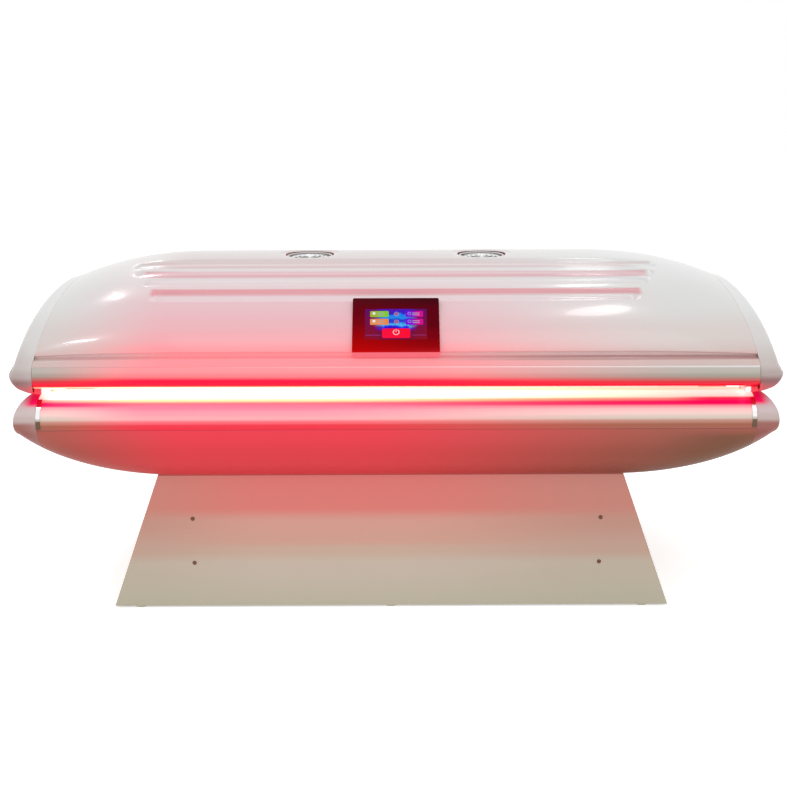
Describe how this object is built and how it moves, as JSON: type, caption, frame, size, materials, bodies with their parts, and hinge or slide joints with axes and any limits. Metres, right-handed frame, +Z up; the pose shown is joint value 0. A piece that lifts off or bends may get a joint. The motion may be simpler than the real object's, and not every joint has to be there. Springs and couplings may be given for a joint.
{
  "type": "red light therapy bed",
  "caption": "Lie-down red light therapy bed: a shallow tub on a narrow pedestal under a hinged, vaulted canopy, both lined with curved acrylic over light boards.",
  "frame": {"origin": "on the floor under the middle of the bed", "axes": "+X along the length to the right as seen from the front, +Y to the rear where the hinges are, +Z up"},
  "size_m": [1.914, 0.8866, 0.897],
  "materials": {
    "moulding": "smooth white moulded plastic",
    "rail": "glossy white extrusion",
    "acrylic": "clear, slightly milky sheet",
    "aluminium": "mill finish",
    "light_board": "white solder mask",
    "plywood": "cut plywood",
    "sheet_metal": "satin powder coat",
    "frame_steel": "black powder coat",
    "zinc_steel": "zinc plated",
    "casing": "brushed casing",
    "dark_plastic": "fine matt grain",
    "rotor": "fine matt grain",
    "switch_red": "smooth",
    "chrome": "polished",
    "well_grey": "smooth",
    "bezel": "black gloss",
    "screen": "black glass-like gloss",
    "circuit": "solder mask",
    "black_tube": "gloss black",
    "black_rubber": "matt"
  },
  "bodies": {
    "bed": {"tub_shell": "moulding", "tub_end_cap_left": "moulding", "tub_end_cap_right": "moulding", "tub_front_rail": "rail", "tub_rear_rail": "rail", "tub_acrylic": "acrylic", "tub_light_tray": "aluminium", "tub_light_boards": "light_board", "tub_rib_left": "plywood", "tub_rib_middle": "plywood", "tub_rib_right": "plywood", "base_front_panel": "sheet_metal", "base_rear_panel": "sheet_metal", "base_left_panel": "sheet_metal", "base_right_panel": "sheet_metal", "base_frame": "frame_steel", "spring_tub_brackets": "frame_steel", "hinge_tub_leaves": "zinc_steel", "hinge_pins": "zinc_steel", "panel_screws": "zinc_steel", "floor_tray": "zinc_steel", "power_supply_left": "casing", "power_supply_right": "casing", "control_box": "dark_plastic", "power_inlet": "dark_plastic", "tub_fan_frame_left": "dark_plastic", "tub_fan_frame_right": "dark_plastic", "rail_end_strips": "chrome", "levelling_feet": "black_rubber", "rest_buffers": "black_rubber"},
    "canopy": {"canopy_shell": "moulding", "canopy_end_cap_left": "moulding", "canopy_end_cap_right": "moulding", "canopy_front_rail": "rail", "canopy_rear_rail": "rail", "canopy_acrylic": "acrylic", "canopy_light_tray": "aluminium", "canopy_light_boards": "light_board", "canopy_rib_left": "plywood", "canopy_rib_right": "plywood", "spring_canopy_brackets": "frame_steel", "hinge_canopy_leaves": "zinc_steel", "canopy_fan_frame_left": "dark_plastic", "canopy_fan_frame_right": "dark_plastic", "fan_guard_left": "chrome", "fan_guard_right": "chrome", "fan_well_left": "well_grey", "fan_well_right": "well_grey", "panel_housing": "bezel", "panel_screen": "screen", "panel_board": "circuit"},
    "spring_rod_left": {"spring_rod_left": "zinc_steel"},
    "spring_rod_right": {"spring_rod_right": "zinc_steel"},
    "tub_fan_rotor_left": {"tub_fan_rotor_left": "rotor"},
    "tub_fan_rotor_right": {"tub_fan_rotor_right": "rotor"},
    "canopy_fan_rotor_left": {"canopy_fan_rotor_left": "rotor"},
    "canopy_fan_rotor_right": {"canopy_fan_rotor_right": "rotor"},
    "power_switch": {"power_switch": "switch_red"},
    "spring_tube_left": {"spring_tube_left": "black_tube"},
    "spring_tube_right": {"spring_tube_right": "black_tube"}
  },
  "joints": [
    {"name": "canopy_hinge", "type": "hinge", "parent": "bed", "child": "canopy", "pos_m": [0, 0.43, 0.61], "axis": [-1, 0, 0], "range_deg": [0, 48]},
    {"name": "spring_tilt_left", "type": "hinge", "parent": "bed", "child": "spring_tube_left", "pos_m": [-0.82, 0.36, 0.5], "axis": [-1, 0, 0], "range_deg": [0, 17]},
    {"name": "spring_slide_left", "type": "slide", "parent": "spring_tube_left", "child": "spring_rod_left", "axis": [0, 0, 1], "range_m": [0, 0.0475]},
    {"name": "spring_tilt_right", "type": "hinge", "parent": "bed", "child": "spring_tube_right", "pos_m": [0.82, 0.36, 0.5], "axis": [-1, 0, 0], "range_deg": [0, 17]},
    {"name": "spring_slide_right", "type": "slide", "parent": "spring_tube_right", "child": "spring_rod_right", "axis": [0, 0, 1], "range_m": [0, 0.0475]},
    {"name": "tub_fan_spin_left", "type": "hinge", "parent": "bed", "child": "tub_fan_rotor_left", "pos_m": [-0.3, 0, 0.35], "axis": [0, 0, 1], "continuous": true},
    {"name": "tub_fan_spin_right", "type": "hinge", "parent": "bed", "child": "tub_fan_rotor_right", "pos_m": [0.3, 0, 0.35], "axis": [0, 0, 1], "continuous": true},
    {"name": "canopy_fan_spin_left", "type": "hinge", "parent": "canopy", "child": "canopy_fan_rotor_left", "pos_m": [-0.235, -0.02, 0.864], "axis": [0, 0, 1], "continuous": true},
    {"name": "canopy_fan_spin_right", "type": "hinge", "parent": "canopy", "child": "canopy_fan_rotor_right", "pos_m": [0.235, -0.02, 0.864], "axis": [0, 0, 1], "continuous": true},
    {"name": "switch_rock", "type": "hinge", "parent": "bed", "child": "power_switch", "pos_m": [0.336, 0.3375, 0.15], "axis": [0, 0, -1], "range_deg": [0, 20]}
  ],
  "couplings": [
    {"joint": "spring_tilt_left", "follows": "canopy_hinge", "ratio": 0.3526},
    {"joint": "spring_slide_left", "follows": "canopy_hinge", "m_per_rad": 0.0565},
    {"joint": "spring_tilt_right", "follows": "canopy_hinge", "ratio": 0.3526},
    {"joint": "spring_slide_right", "follows": "canopy_hinge", "m_per_rad": 0.0565}
  ]
}
